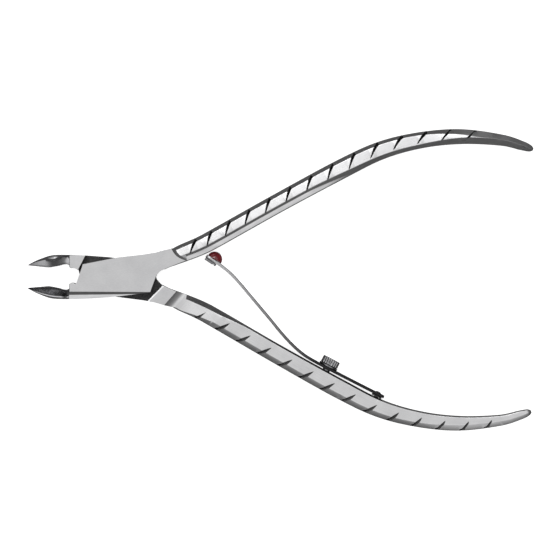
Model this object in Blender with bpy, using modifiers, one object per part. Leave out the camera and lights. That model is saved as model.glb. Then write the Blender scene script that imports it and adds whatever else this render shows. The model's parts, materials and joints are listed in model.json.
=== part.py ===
"""Cuticle nipper, lying flat with its handles sprung open. Metres, +Z up.

Two equal forged levers cross in a lap joint. The rear lever is the front lever turned half a
turn about the long axis X. A leaf spring on the rear lever carries a plastic bead that glides
on the front lever. A knurled nut on a stud sets how hard the leaf presses.

The world origin is under the middle of the bounding box. Everything below is placed from the
pivot, the empty that holds all the pieces: X towards the handles, Y towards the front lever's
handle, Z up, with the levers' mid-plane at Z = 0.
"""

import math

import bmesh
import bpy
from mathutils import Matrix, Vector

MM = 0.001

# Joint
TIP_X = -20.7 * MM
TAIL_X = 99.3 * MM
JOINT_THICKNESS = 6.0 * MM
PLATE_GAP = 0.06 * MM

# Pivot screw, from its head in the rear face to its end inside the front plate
SCREW_RADIUS = 1.6 * MM
SCREW_HEAD_RADIUS = 2.7 * MM
SCREW_HEAD_HEIGHT = 1.2 * MM
SCREW_RECESS = 0.15 * MM
SCREW_COVER = 1.0 * MM
SCREW_SLOT = 0.55 * MM
RUNNING_CLEARANCE = 0.05 * MM

# Outline of a lever around the joint, in mm: (x, y), anticlockwise from the plate's upper corner
UPPER_EDGE = ((16.6, 7.3), (13.6, 6.95), (11.85, 6.55), (9.8, 5.95), (6.9, 5.45), (0.7, 4.7))
PLATE_CORNER = (-7.5, 3.2)
PLATE_FOOT = (-8.85, -1.5)
JAW_ROOT = ((-9.8, -1.5), (-10.7, -1.8), (-10.7, -5.28))
LOWER_EDGE = ((-6.8, -5.15), (-1.5, -4.8), (2.2, -4.35), (8.7, -3.5))
CROTCH = ((9.8, 0.1), (9.97, 0.5), (10.3, 1.15), (10.93, 1.75), (13.0, 2.55), (17.2, 4.0))
# The rear half of the lever is cut away between these two shoulder lines
JAW_SHOULDER = ((-6.75, -5.4), (-8.62, -1.7))
HANDLE_SHOULDER = ((8.05, 5.45), (11.15, 2.28))
# How far the pocket runs past the lever, and how its four sides lean on the way, in mm
POCKET_REACH = 12.0
POCKET_LEAN = 2.0
POCKET_JAW_RISE = 0.9
POCKET_CROTCH_DROP = 1.9
# Ground bevel on the plate's lower edge: width and drop at the jaw, share left at the crotch
LOWER_CHAMFER = (1.75 * MM, 1.5 * MM)
CHAMFER_END_SHARE = 0.05
CHAMFER_LAP = 0.1 * MM
# Where the joint block falls away to the handle, in mm, on the front and on the rear face
FRONT_RIM = ((12.6, 8.6), (16.6, 3.0))
REAR_RIM = ((11.0, 7.6), (16.0, 1.6))
HANDLE_WAY = Vector((0.88, 0.47))
SCOOP_RUN = 1.5 * MM
SCOOP_DROP = 1.4 * MM
SCOOP_REACH = 8.0 * MM

# Jaw stations from root to tip, in mm: x, outer y, cutting y, half thickness
JAW = (
    (-10.3, -5.22, -1.95, 2.70),
    (-11.4, -5.27, -3.10, 2.62),
    (-12.5, -5.27, -2.80, 2.45),
    (-14.4, -5.20, -2.42, 2.10),
    (-15.7, -4.97, -2.22, 1.80),
    (-17.2, -4.45, -2.35, 1.45),
    (-18.7, -3.85, -2.48, 1.05),
    (-20.0, -3.20, -2.59, 0.60),
    (-20.7, -2.80, -2.65, 0.20),
)
EDGE_THICKNESS = 0.12 * MM

# Handle stations from joint to tail, in mm: x, y of the middle, width, half thickness
HANDLE = (
    (12.2, 4.20, 3.00, 2.30),
    (15.6, 5.65, 4.15, 2.35),
    (20.4, 7.66, 4.45, 2.40),
    (25.1, 10.20, 4.54, 2.40),
    (39.4, 18.35, 4.54, 2.40),
    (53.7, 26.15, 4.66, 2.35),
    (63.2, 30.70, 4.30, 2.20),
    (72.7, 33.20, 3.85, 2.00),
    (82.2, 34.10, 3.50, 1.85),
    (91.7, 33.35, 2.65, 1.60),
    (96.5, 32.10, 2.20, 1.35),
    (98.6, 31.40, 1.60, 0.95),
    (99.3, 31.15, 0.60, 0.40),
)
STEPS_PER_SPAN = 4

# Grooves across the handle's outer edge. The front face's first few sit closer together.
GROOVES = 14
FRONT_GROOVE = 5.6 * MM
REAR_GROOVE = 8.75 * MM
GROOVE_PITCH = 5.73 * MM
CROWDED = 2.9 * MM
CROWDING = 1.6
FRONT_LEAN_DEG = -46
REAR_LEAN_DEG = 31
# Both ends of a groove: distance in from the handle's edge and depth below its face
GROOVE_ENDS = ((-0.8 * MM, 1.0 * MM), (3.2 * MM, -0.15 * MM))
GROOVE_MOUTH_WIDTH = 1.6 * MM
GROOVE_MOUTH_LIFT = 0.4 * MM

# Leaf spring: its middle line from the tip, in mm, then straight to the foot
LEAF_CURVE = (
    (21.75, 5.28), (23.4, 4.22), (25.0, 3.12), (27.5, 1.15), (29.9, -1.4), (32.3, -4.2),
    (34.7, -7.0), (37.1, -9.8), (39.5, -12.7), (41.9, -15.3), (44.2, -17.4), (46.6, -19.05),
    (50.7, -21.22), (57.0, -24.4), (64.2, -28.0),
)
LEAF_THICKNESS = 0.7 * MM
LEAF_WIDTH = 3.6 * MM
FIT_GAP = 0.03 * MM

# Bead on the leaf's tip, and the rivet that holds it
BEAD_AT = 2.05 * MM
BEAD_RADIUS = 1.82 * MM
RIVET_RADIUS = 0.55 * MM
RIVET_HEAD = (3.0 * MM, 2.8 * MM, 0.62 * MM)
RIVET_HEAD_ROUNDING = 0.16 * MM
RIVET_HEAD_AT = 1.6 * MM
RIVET_DEPTH_IN_BEAD = 1.1 * MM

# Tension screw, square to the leaf, measured from the leaf's top face
KNOB_X = 50.7 * MM
STUD_RADIUS = 0.9 * MM
STUD_DEPTH = 2.6 * MM
WASHER_RADIUS = 2.3 * MM
WASHER_HEIGHT = 0.45 * MM
KNOB_RADIUS = 2.15 * MM
KNOB_HEIGHT = 1.6 * MM
KNOB_RIBS = 20
RIB_DEPTH = 0.16 * MM

# Foot of the leaf
FOOT_X = 62.75 * MM
FOOT_LENGTH = 2.4 * MM
FOOT_HEIGHT = 0.36 * MM
FOOT_RIVET_RADIUS = 0.5 * MM
FOOT_RIVET_HEAD_RADIUS = 0.7 * MM
FOOT_RIVET_HEAD_HEIGHT = 0.24 * MM
FOOT_RIVET_DEPTH = 1.6 * MM

PIVOT_X = -(TIP_X + TAIL_X) / 2
MID_Z = JOINT_THICKNESS / 2
ROUND_STEPS = 48


def clear_scene():
    for obj in list(bpy.data.objects):
        bpy.data.objects.remove(obj)


def new_collection(name):
    group = bpy.data.collections.new(name)
    bpy.context.scene.collection.children.link(group)
    return group


def new_material(name, colour, roughness, metallic):
    material = bpy.data.materials.new(name)
    material.use_nodes = True
    shader = material.node_tree.nodes["Principled BSDF"]
    shader.inputs["Base Color"].default_value = (*colour, 1)
    shader.inputs["Roughness"].default_value = roughness
    shader.inputs["Metallic"].default_value = metallic
    return material


clear_scene()
PARTS = new_collection("cuticle_nipper")
CUTTERS = new_collection("cutters")

PIVOT = bpy.data.objects.new("pivot", None)
PIVOT.location = (PIVOT_X, 0, MID_Z)
PARTS.objects.link(PIVOT)


def add_part(name, data, material, matrix=None):
    """A finished piece, held by the pivot empty."""
    obj = bpy.data.objects.new(name, data)
    PARTS.objects.link(obj)
    obj.parent = PIVOT
    obj.matrix_basis = matrix or Matrix()
    obj.data.materials.clear()
    obj.data.materials.append(material)
    return obj


def add_cutter(name, data, matrix=None):
    obj = bpy.data.objects.new(name, data)
    CUTTERS.objects.link(obj)
    obj.parent = PIVOT
    obj.matrix_basis = matrix or Matrix()
    obj.hide_render = True
    obj.display_type = "WIRE"
    return obj


def combine(obj, other, operation):
    modifier = obj.modifiers.new(other.name, "BOOLEAN")
    modifier.operation = operation
    modifier.solver = "EXACT"
    modifier.object = other


def evaluated_mesh(obj):
    """The object's mesh with its modifiers applied and a curve's caps welded."""
    bpy.context.view_layer.update()
    graph = bpy.context.evaluated_depsgraph_get()
    mesh = bpy.data.meshes.new_from_object(obj.evaluated_get(graph))
    work = bmesh.new()
    work.from_mesh(mesh)
    bmesh.ops.remove_doubles(work, verts=work.verts, dist=1e-7)
    bmesh.ops.recalc_face_normals(work, faces=work.faces)
    work.to_mesh(mesh)
    work.free()
    return mesh


def outline_mesh(name, loops, bottom, top):
    """A flat outline, with any holes as further loops, extruded from bottom to top."""
    curve = bpy.data.curves.new(name, "CURVE")
    curve.dimensions = "2D"
    curve.fill_mode = "BOTH"
    curve.extrude = (top - bottom) / 2
    for loop in loops:
        spline = curve.splines.new("POLY")
        spline.points.add(len(loop) - 1)
        spline.use_cyclic_u = True
        for point, (x, y) in zip(spline.points, loop):
            point.co = (x, y, 0, 1)
    obj = bpy.data.objects.new(name, curve)
    CUTTERS.objects.link(obj)
    mesh = evaluated_mesh(obj)
    mesh.transform(Matrix.Translation((0, 0, (top + bottom) / 2)))
    bpy.data.objects.remove(obj)
    return mesh


def loft_mesh(name, rings):
    """A skin over rings of equal length, closed at both ends."""
    work = bmesh.new()
    rows = [[work.verts.new(point) for point in ring] for ring in rings]
    for row, after in zip(rows, rows[1:]):
        for i in range(len(row)):
            j = (i + 1) % len(row)
            work.faces.new((row[i], row[j], after[j], after[i]))
    work.faces.new(rows[0])
    work.faces.new(rows[-1])
    bmesh.ops.recalc_face_normals(work, faces=work.faces)
    mesh = bpy.data.meshes.new(name)
    work.to_mesh(mesh)
    work.free()
    return mesh


def turned_mesh(name, profile):
    """A profile of (radius, height), from its top to its bottom, turned about Z."""
    work = bmesh.new()
    points = [work.verts.new((radius, 0, height)) for radius, height in profile]
    for first, second in zip(points, points[1:]):
        work.edges.new((first, second))
    mesh = bpy.data.meshes.new(name)
    work.to_mesh(mesh)
    work.free()
    obj = bpy.data.objects.new(name, mesh)
    CUTTERS.objects.link(obj)
    screw = obj.modifiers.new("turn", "SCREW")
    screw.steps = ROUND_STEPS
    screw.render_steps = ROUND_STEPS
    screw.use_merge_vertices = True
    screw.merge_threshold = 1e-6
    turned = evaluated_mesh(obj)
    bpy.data.objects.remove(obj)
    turned.shade_smooth()
    turned.set_sharp_from_angle(angle=math.radians(35))
    return turned


def cylinder_mesh(name, radius, bottom, top):
    return turned_mesh(name, ((0, top), (radius, top), (radius, bottom), (0, bottom)))


def box_mesh(name, size, centre=(0, 0, 0)):
    work = bmesh.new()
    bmesh.ops.create_cube(work, size=1)
    bmesh.ops.scale(work, verts=work.verts, vec=size)
    bmesh.ops.translate(work, verts=work.verts, vec=centre)
    mesh = bpy.data.meshes.new(name)
    work.to_mesh(mesh)
    work.free()
    return mesh


def smooth_line(stations, steps):
    """Points on a smooth curve through the stations (Catmull-Rom), in metres."""
    points = [Vector(station) * MM for station in stations]
    padded = [2 * points[0] - points[1], *points, 2 * points[-1] - points[-2]]
    line = []
    for a, b, c, d in zip(padded, padded[1:], padded[2:], padded[3:]):
        for i in range(steps):
            t = i / steps
            line.append(
                (2 * b + (c - a) * t + (2 * a - 5 * b + 4 * c - d) * t * t
                 + (3 * b - a - 3 * c + d) * t**3) / 2
            )
    return [*line, points[-1]]


def side_of(line, i):
    """The unit vector to the left of a flat line at its point i."""
    along = line[min(i + 1, len(line) - 1)] - line[max(i - 1, 0)]
    return Vector((-along[1], along[0])).normalized()


def frame_at(line, distance, lift=0.0):
    """A matrix on a flat line: X along it, Z to its left, Y down. Lift moves it along Z."""
    for i, (a, b) in enumerate(zip(line, line[1:])):
        step = Vector((b - a)[:2])
        if distance <= step.length or i == len(line) - 2:
            break
        distance -= step.length
    along = step.normalized()
    up = Vector((-along.y, along.x, 0))
    place = Vector((*a[:2], 0)) + Vector((*along, 0)) * distance + up * lift
    matrix = Matrix((Vector((*along, 0)), up.cross(Vector((*along, 0))), up)).transposed()
    return Matrix.Translation(place) @ matrix.to_4x4()


def distance_to_x(line, x):
    """How far along a flat line it reaches x."""
    total = 0.0
    for a, b in zip(line, line[1:]):
        if b[0] >= x:
            return total + Vector((b - a)[:2]).length * (x - a[0]) / (b[0] - a[0])
        total += Vector((b - a)[:2]).length
    return total


def handle_rings():
    """Sections square to the handle: rounded outside, flat faces, chamfered inside."""
    line = smooth_line(HANDLE, STEPS_PER_SPAN)
    shape = (
        (1.00, 0.00), (0.97, 0.45), (0.80, 0.82), (0.50, 1.00), (-0.25, 1.00),
        (-0.85, 0.62), (-1.00, 0.25),
    )
    half = [(w, -z) for w, z in shape[1:]]
    section = [*shape, *reversed(half)]
    rings = []
    for i, point in enumerate(line):
        side = side_of(line, i)
        width, height = point[2] / 2, point[3]
        ring = []
        for w, z in section:
            place = Vector(point[:2]) + side * (w * width)
            ring.append((place.x, place.y, z * height))
        rings.append(ring)
    return rings


def jaw_rings():
    """Sections square to X: a stout back, hollow flanks and a thin cutting edge."""
    edge = EDGE_THICKNESS / 2
    rings = []
    for x, outer, cutting, half in (Vector(station) * MM for station in JAW):
        depth = cutting - outer
        front = (
            (outer, 0.45 * half),
            (outer + 0.14 * depth, 0.92 * half),
            (outer + 0.30 * depth, half),
            (outer + 0.65 * depth, 0.42 * half),
            (cutting, edge),
        )
        rear = [(y, -z) for y, z in reversed(front)]
        rings.append([(x, y, z) for y, z in (*front, *rear)])
    return rings


def joint_outline():
    points = [*UPPER_EDGE, PLATE_CORNER, PLATE_FOOT, *JAW_ROOT, *LOWER_EDGE, *CROTCH]
    return [(x * MM, y * MM) for x, y in points]


def pocket_outline():
    """The rear half that makes room for the other lever's plate."""
    far = POCKET_REACH
    jaw_low, jaw_top = JAW_SHOULDER
    handle_top, handle_low = HANDLE_SHOULDER
    points = [
        handle_top, (handle_top[0] - POCKET_LEAN, far), (-far, far),
        (-far, jaw_top[1] + POCKET_JAW_RISE), jaw_top,
        jaw_low, (jaw_low[0] + POCKET_LEAN, -far), (far, -far),
        (far, handle_low[1] - POCKET_CROTCH_DROP), handle_low,
    ]
    return [(x * MM, y * MM) for x, y in points]


def chamfer_mesh():
    """A wedge along the plate's lower edge, on its front face."""
    width, drop = LOWER_CHAMFER
    top = JOINT_THICKNESS / 2
    start, end = Vector(JAW_ROOT[-1]) * MM, Vector(LOWER_EDGE[-1]) * MM
    along = (end - start).normalized()
    side = Vector((-along.y, along.x))
    rings = []
    for point, share in ((start - along * MM, 1.0), (end + along * MM, CHAMFER_END_SHARE)):
        inner, outer = point + side * width * share, point - side * MM
        below = point - side * CHAMFER_LAP
        rings.append([
            (inner.x, inner.y, top + 0.001 * MM), (inner.x, inner.y, top + MM),
            (outer.x, outer.y, top + MM), (outer.x, outer.y, top - drop * share),
            (below.x, below.y, top - drop * share),
        ])
    return loft_mesh("chamfer", rings)


def scoop_mesh(rim, face):
    """A wedge that takes one face of the joint block down to the handle, from a rim line on."""
    top = JOINT_THICKNESS / 2
    rings = []
    for point in (Vector(station) * MM for station in rim):
        foot, far = point + HANDLE_WAY * SCOOP_RUN, point + HANDLE_WAY * SCOOP_REACH
        section = (
            (point, top), (point, top + MM), (far, top + MM), (far, top - SCOOP_DROP),
            (foot, top - SCOOP_DROP),
        )
        rings.append([(place.x, place.y, face * height) for place, height in section])
    return loft_mesh("scoop", rings)


def groove_distance(number, face):
    """How far along the handle a groove sits."""
    if face < 0:
        return REAR_GROOVE + number * GROOVE_PITCH
    return FRONT_GROOVE + number * GROOVE_PITCH + CROWDED * math.exp(-number / CROWDING)


def groove_rings(line, number, face):
    """A three-sided notch's two ends, across the handle's outer edge on one face."""
    spot = frame_at(line, groove_distance(number, face))
    place = spot.translation
    nearest = min(line, key=lambda point: (Vector((*point[:2], 0)) - place).length)
    angle = math.radians(FRONT_LEAN_DEG if face > 0 else REAR_LEAN_DEG)
    inward = Vector((math.sin(angle), 0, -math.cos(angle)))
    half_mouth = Vector((math.cos(angle), 0, math.sin(angle))) * (GROOVE_MOUTH_WIDTH / 2)
    out = Vector((0, -face, 0))
    edge = Vector((0, 0, nearest[2] / 2)) + out * nearest[3]
    rings = []
    for distance, depth in GROOVE_ENDS:
        root = edge + inward * distance - out * depth
        mouth = edge + inward * distance + out * GROOVE_MOUTH_LIFT
        rings.append([spot @ (mouth + half_mouth), spot @ (mouth - half_mouth), spot @ root])
    return rings


def groove_mesh():
    """All the notches of both faces, as one cutter."""
    line = smooth_line(HANDLE, STEPS_PER_SPAN)
    work = bmesh.new()
    for number in range(GROOVES):
        for face in (1, -1):
            rings = groove_rings(line, number, face)
            near, far = [[work.verts.new(point) for point in ring] for ring in rings]
            for i in range(3):
                j = (i + 1) % 3
                work.faces.new((near[i], near[j], far[j], far[i]))
            work.faces.new(near)
            work.faces.new(far)
    bmesh.ops.recalc_face_normals(work, faces=work.faces)
    mesh = bpy.data.meshes.new("grooves")
    work.to_mesh(mesh)
    work.free()
    return mesh


def lever_mesh():
    """One lever: joint block, jaw and handle joined, then the rear pocket cut away."""
    half = JOINT_THICKNESS / 2
    lever = add_cutter("lever", outline_mesh("joint", [joint_outline()], -half, half))
    pocket = outline_mesh("pocket", [pocket_outline()], -half - MM, PLATE_GAP / 2)
    steps = (
        (add_cutter("pocket", pocket), "DIFFERENCE"),
        (add_cutter("chamfer", chamfer_mesh()), "DIFFERENCE"),
        (add_cutter("front_scoop", scoop_mesh(FRONT_RIM, 1)), "DIFFERENCE"),
        (add_cutter("rear_scoop", scoop_mesh(REAR_RIM, -1)), "DIFFERENCE"),
        (add_cutter("jaw", loft_mesh("jaw", jaw_rings())), "UNION"),
        (add_cutter("handle", loft_mesh("handle", handle_rings())), "UNION"),
        (add_cutter("grooves", groove_mesh()), "DIFFERENCE"),
    )
    for other, operation in steps:
        combine(lever, other, operation)
    mesh = evaluated_mesh(lever)
    for other, _ in steps:
        bpy.data.objects.remove(other)
    bpy.data.objects.remove(lever)
    mesh.shade_smooth()
    mesh.set_sharp_from_angle(angle=math.radians(25))
    return mesh


def make_levers():
    steel = new_material("steel", (0.62, 0.62, 0.63), 0.28, 1.0)
    mesh = lever_mesh()
    front = add_part("front_lever", mesh, steel)
    rear = add_part("rear_lever", mesh.copy(), steel, Matrix.Rotation(math.pi, 4, "X"))

    half = JOINT_THICKNESS / 2
    hole = SCREW_RADIUS + RUNNING_CLEARANCE
    blind = cylinder_mesh("front_hole", hole, -MM, half - SCREW_COVER + RUNNING_CLEARANCE)
    combine(front, add_cutter("front_hole", blind), "DIFFERENCE")
    seat = -half + SCREW_RECESS + SCREW_HEAD_HEIGHT + RUNNING_CLEARANCE
    wide = SCREW_HEAD_RADIUS + RUNNING_CLEARANCE
    below = -half - MM
    profile = ((0, MM), (hole, MM), (hole, seat), (wide, seat), (wide, below), (0, below))
    stepped = turned_mesh("rear_hole", profile)
    combine(rear, add_cutter("rear_hole", stepped), "DIFFERENCE")
    return rear


def make_pivot_screw():
    steel = new_material("screw_steel", (0.55, 0.55, 0.57), 0.35, 1.0)
    half = JOINT_THICKNESS / 2
    bottom = -half + SCREW_RECESS
    top = half - SCREW_COVER
    neck = bottom + SCREW_HEAD_HEIGHT
    profile = (
        (0, top), (SCREW_RADIUS, top), (SCREW_RADIUS, neck), (SCREW_HEAD_RADIUS, neck),
        (SCREW_HEAD_RADIUS, bottom), (0, bottom),
    )
    screw = add_part("pivot_screw", turned_mesh("pivot_screw", profile), steel)
    size = (SCREW_HEAD_RADIUS * 3, SCREW_SLOT, SCREW_SLOT * 2)
    slot = add_cutter("screw_slot", box_mesh("screw_slot", size, (0, 0, bottom)))
    combine(screw, slot, "DIFFERENCE")


def leaf_line():
    return smooth_line(LEAF_CURVE, 3)


def make_leaf(line):
    steel = new_material("spring_steel", (0.5, 0.5, 0.52), 0.3, 1.0)
    upper, lower = [], []
    for i, point in enumerate(line):
        side = side_of(line, i) * (LEAF_THICKNESS / 2)
        upper.append(tuple(point + side))
        lower.append(tuple(point - side))
    mesh = outline_mesh("leaf_spring", [upper + lower[::-1]], -LEAF_WIDTH / 2, LEAF_WIDTH / 2)
    leaf = add_part("leaf_spring", mesh, steel)
    holes = (
        ("bead_hole", BEAD_AT, RIVET_RADIUS),
        ("stud_hole", distance_to_x(line, KNOB_X), STUD_RADIUS),
        ("foot_hole", distance_to_x(line, FOOT_X), FOOT_RIVET_RADIUS),
    )
    for name, distance, radius in holes:
        hole = cylinder_mesh(name, radius + FIT_GAP, -MM, MM)
        combine(leaf, add_cutter(name, hole, frame_at(line, distance)), "DIFFERENCE")


def make_bead(line):
    plastic = new_material("red_plastic", (0.19, 0.012, 0.018), 0.2, 0.0)
    steel = new_material("rivet_steel", (0.5, 0.5, 0.5), 0.35, 1.0)
    spot = frame_at(line, BEAD_AT, LEAF_THICKNESS / 2 + FIT_GAP)
    arc = 12
    angles = [math.pi / 2 * i / arc for i in range(arc + 1)]
    dome = [(BEAD_RADIUS * math.sin(angle), BEAD_RADIUS * math.cos(angle)) for angle in angles]
    bead = add_part("glide_bead", turned_mesh("glide_bead", [*dome, (0, 0)]), plastic, spot)
    hole = cylinder_mesh("bead_bore", RIVET_RADIUS + FIT_GAP, -MM, RIVET_DEPTH_IN_BEAD + FIT_GAP)
    combine(bead, add_cutter("bead_bore", hole, spot), "DIFFERENCE")

    height = RIVET_HEAD[2]
    low = -LEAF_THICKNESS - 2 * FIT_GAP
    head = box_mesh("head", RIVET_HEAD, (RIVET_HEAD_AT - BEAD_AT, 0, low - height / 2))
    rivet = add_part("bead_rivet", head, steel, spot)
    rounding = rivet.modifiers.new("round", "BEVEL")
    rounding.width = RIVET_HEAD_ROUNDING
    rounding.segments = 2
    shank = cylinder_mesh("shank", RIVET_RADIUS, low - height / 2, RIVET_DEPTH_IN_BEAD)
    combine(rivet, add_cutter("rivet_shank", shank, spot), "UNION")


def knob_outline():
    """A ring of rounded ribs."""
    points = []
    for i in range(KNOB_RIBS * 4):
        angle = 2 * math.pi * i / (KNOB_RIBS * 4)
        radius = KNOB_RADIUS - RIB_DEPTH * (1 - math.cos(angle * KNOB_RIBS)) / 2
        points.append((radius * math.cos(angle), radius * math.sin(angle)))
    return points


def circle(radius):
    turn = 2 * math.pi / ROUND_STEPS
    return [(radius * math.cos(turn * i), radius * math.sin(turn * i)) for i in range(ROUND_STEPS)]


def make_tension_screw(line, rear):
    steel = new_material("knob_steel", (0.45, 0.45, 0.47), 0.32, 1.0)
    spot = frame_at(line, distance_to_x(line, KNOB_X), LEAF_THICKNESS / 2)
    hole = circle(STUD_RADIUS + RUNNING_CLEARANCE)
    washer_top = FIT_GAP + WASHER_HEIGHT
    washer = outline_mesh("knob_washer", [circle(WASHER_RADIUS), hole], FIT_GAP, washer_top)
    add_part("knob_washer", washer, steel, spot)
    knob_bottom = washer_top + FIT_GAP
    knob_top = knob_bottom + KNOB_HEIGHT
    knob = outline_mesh("tension_knob", [knob_outline(), hole], knob_bottom, knob_top)
    add_part("tension_knob", knob, steel, spot)
    deep = -LEAF_THICKNESS - STUD_DEPTH
    add_part("tension_stud", cylinder_mesh("tension_stud", STUD_RADIUS, deep, knob_top), steel, spot)
    bore = cylinder_mesh("stud_bore", STUD_RADIUS + FIT_GAP, deep - FIT_GAP, 0)
    combine(rear, add_cutter("stud_bore", bore, spot), "DIFFERENCE")


def make_foot(line, rear):
    steel = new_material("foot_steel", (0.5, 0.5, 0.52), 0.3, 1.0)
    spot = frame_at(line, distance_to_x(line, FOOT_X), LEAF_THICKNESS / 2)
    low = -LEAF_THICKNESS - FIT_GAP
    size = (FOOT_LENGTH, LEAF_WIDTH, FOOT_HEIGHT)
    block = box_mesh("spring_foot", size, (0, 0, low - FOOT_HEIGHT / 2))
    foot = add_part("spring_foot", block, steel, spot)
    hole = cylinder_mesh("foot_bore", FOOT_RIVET_RADIUS + FIT_GAP, low - MM, MM)
    combine(foot, add_cutter("foot_bore", hole, spot), "DIFFERENCE")

    deep = low - FOOT_HEIGHT - FOOT_RIVET_DEPTH
    top = FIT_GAP + FOOT_RIVET_HEAD_HEIGHT
    head, neck = FOOT_RIVET_HEAD_RADIUS, FOOT_RIVET_RADIUS
    profile = (
        (0, top), (head * 0.6, top), (head, FIT_GAP + FOOT_RIVET_HEAD_HEIGHT * 0.4),
        (head, FIT_GAP), (neck, FIT_GAP), (neck, deep), (0, deep),
    )
    add_part("foot_rivet", turned_mesh("foot_rivet", profile), steel, spot)
    bore = cylinder_mesh("rivet_bore", FOOT_RIVET_RADIUS + FIT_GAP, deep - FIT_GAP, 0)
    combine(rear, add_cutter("rivet_bore", bore, spot), "DIFFERENCE")


REAR = make_levers()
LEAF = leaf_line()
make_pivot_screw()
make_leaf(LEAF)
make_bead(LEAF)
make_tension_screw(LEAF, REAR)
make_foot(LEAF, REAR)
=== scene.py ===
"""Looks of a cuticle nipper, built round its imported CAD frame.

Two equal forged levers in a lap joint, a leaf spring with a red glide bead, and a knurled
tension nut. Lengths marked mm are measured from the pivot, with the levers' mid-plane at Z = 0,
as the lever lies when it is the front one. The rear lever is the same forging turned over.
"""

import json
import math

import bmesh
import bpy
from mathutils import Matrix, Vector


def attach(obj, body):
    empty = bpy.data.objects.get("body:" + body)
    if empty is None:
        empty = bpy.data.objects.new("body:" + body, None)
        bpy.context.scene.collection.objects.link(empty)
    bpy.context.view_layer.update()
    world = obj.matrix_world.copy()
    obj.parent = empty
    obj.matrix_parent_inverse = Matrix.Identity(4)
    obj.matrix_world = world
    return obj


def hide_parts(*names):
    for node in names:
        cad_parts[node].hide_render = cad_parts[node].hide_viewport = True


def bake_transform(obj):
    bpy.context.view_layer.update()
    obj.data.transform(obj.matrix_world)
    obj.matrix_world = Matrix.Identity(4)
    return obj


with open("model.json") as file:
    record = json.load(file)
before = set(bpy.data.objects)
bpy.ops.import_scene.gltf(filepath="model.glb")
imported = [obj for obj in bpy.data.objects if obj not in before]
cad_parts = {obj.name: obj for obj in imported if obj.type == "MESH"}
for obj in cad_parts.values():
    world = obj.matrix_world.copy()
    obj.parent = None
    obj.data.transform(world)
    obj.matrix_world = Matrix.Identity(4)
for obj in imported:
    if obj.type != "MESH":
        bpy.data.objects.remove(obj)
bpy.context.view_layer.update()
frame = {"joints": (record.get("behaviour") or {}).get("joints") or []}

MM = 0.001
LINE_STEP = 0.35
JOINTS = {joint["name"]: joint for joint in frame["joints"]}
PIVOT = Vector(JOINTS["jaw_pivot"]["pos_m"])
TO_ROW = Matrix.Translation(PIVOT)
TURNED_OVER = Matrix.Rotation(math.pi, 4, "X")

# Joint block, mm
HALF_JOINT = 3.0
PLATE_GAP = 0.06
UPPER_EDGE = ((16.6, 7.3), (13.6, 6.95), (11.85, 6.55), (9.8, 5.95), (6.9, 5.45), (0.7, 4.7))
PLATE_CORNER = (-7.5, 3.2)
FRONT_ROOT = (
    (-8.93, -1.86), (-9.25, -1.6), (-9.7, -1.36), (-10.1, -1.33), (-10.45, -1.45),
    (-10.68, -1.75), (-10.72, -5.28),
)
REAR_ROOT = (
    (-8.75, -2.05), (-9.6, -2.1), (-10.25, -2.12), (-10.52, -2.22), (-10.68, -2.45),
    (-10.72, -5.28),
)
LOWER_EDGE = ((-6.8, -5.15), (-1.5, -4.8), (2.2, -4.35), (8.7, -3.5))
CROTCH = ((9.8, 0.1), (9.97, 0.5), (10.3, 1.15), (10.93, 1.75), (13.0, 2.55), (17.2, 4.0))
JAW_SHOULDER = ((-6.75, -5.4), (-8.62, -1.7))
HANDLE_SHOULDER = ((8.05, 5.45), (11.15, 2.28))
BLOCK_BEVEL = 0.18

# Jaw stations from root to tip, mm: x, outer y, cutting y, half thickness
JAW = (
    (-10.3, -5.22, -2.30, 1.35),
    (-11.2, -5.27, -2.95, 1.35),
    (-12.2, -5.27, -2.95, 1.90),
    (-13.0, -5.27, -2.70, 2.14),
    (-14.4, -5.20, -2.42, 2.10),
    (-15.7, -4.97, -2.22, 1.80),
    (-17.2, -4.45, -2.35, 1.45),
    (-18.7, -3.85, -2.48, 1.05),
    (-20.0, -3.20, -2.59, 0.60),
    (-20.7, -2.80, -2.65, 0.20),
)
CUTTING_EDGE = 0.06

# Handle stations from joint to tail, mm: x, y of the middle, width, half thickness
HANDLE = (
    (12.2, 4.20, 3.00, 2.30),
    (15.6, 5.65, 4.15, 2.35),
    (20.4, 7.66, 4.45, 2.40),
    (25.1, 10.20, 4.54, 2.40),
    (39.4, 18.35, 4.54, 2.40),
    (53.7, 26.15, 4.66, 2.35),
    (63.2, 30.70, 4.30, 2.20),
    (72.7, 33.20, 3.85, 2.00),
    (82.2, 34.10, 3.50, 1.85),
    (91.7, 33.35, 2.65, 1.60),
    (96.5, 32.10, 2.20, 1.35),
    (98.6, 31.40, 1.60, 0.95),
    (99.3, 31.15, 0.60, 0.40),
)
# Grooves, mm along the handle: the first on each face, their pitch, and how the front face's
# first few sit closer together
GROOVES = 14
FRONT_GROOVE, REAR_GROOVE = 5.6, 8.75
GROOVE_PITCH = 5.73
CROWDED, CROWDING = 2.9, 1.6
FRONT_LEAN = math.radians(-46)
REAR_LEAN = math.radians(31)

# Leaf spring, mm: its curve, and the shares of its width at the first rings of
# each end
LEAF_CURVE = (
    (21.75, 5.28), (23.4, 4.22), (25.0, 3.12), (27.5, 1.15), (29.9, -1.4), (32.3, -4.2),
    (34.7, -7.0), (37.1, -9.8), (39.5, -12.7), (41.9, -15.3), (44.2, -17.4), (46.6, -19.05),
    (50.7, -21.22), (57.0, -24.4), (64.2, -28.0),
)
LEAF_THICKNESS = 0.7
LEAF_WIDTH = 3.6
LEAF_ROUNDING = 0.31
LEAF_TIP = (0.80, 0.93, 0.98, 1.0)
FIT_GAP = 0.03
BEAD_AT = 2.05
BEAD_RADIUS = 1.82
KNOB_X = 50.7
FOOT_X = 62.75

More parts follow.
